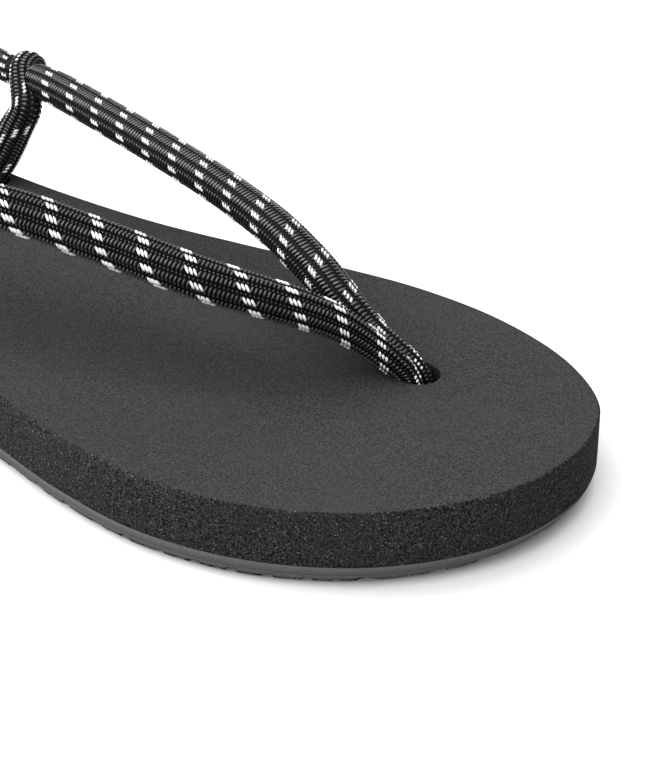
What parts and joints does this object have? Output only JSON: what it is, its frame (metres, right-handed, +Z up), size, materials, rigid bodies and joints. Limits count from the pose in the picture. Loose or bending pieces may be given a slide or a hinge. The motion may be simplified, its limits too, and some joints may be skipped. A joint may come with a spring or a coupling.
{
  "type": "rope sandal",
  "caption": "Thong sandal with a flat foam footbed, a grey sheet and tread under it, and a ribbed cord upper held by two side loops.",
  "frame": {"origin": "on the floor, at the middle of the sandal's length and width", "axes": "+X from heel to toe, +Y towards the inner side of the right foot, +Z up"},
  "size_m": [0.2728, 0.1046, 0.064],
  "materials": {
    "foam": "matt closed-cell foam, cut and buffed",
    "grey_rubber": "matt grey sheet, cut edge",
    "tread_rubber": "matt black rubber, rough cut edge",
    "cord": "ribbed braid of black yarn with light tracer stitches"
  },
  "bodies": {
    "root": {"footbed": "foam", "midsole_sheet": "grey_rubber", "outsole": "tread_rubber", "upper": "cord"}
  },
  "joints": []
}
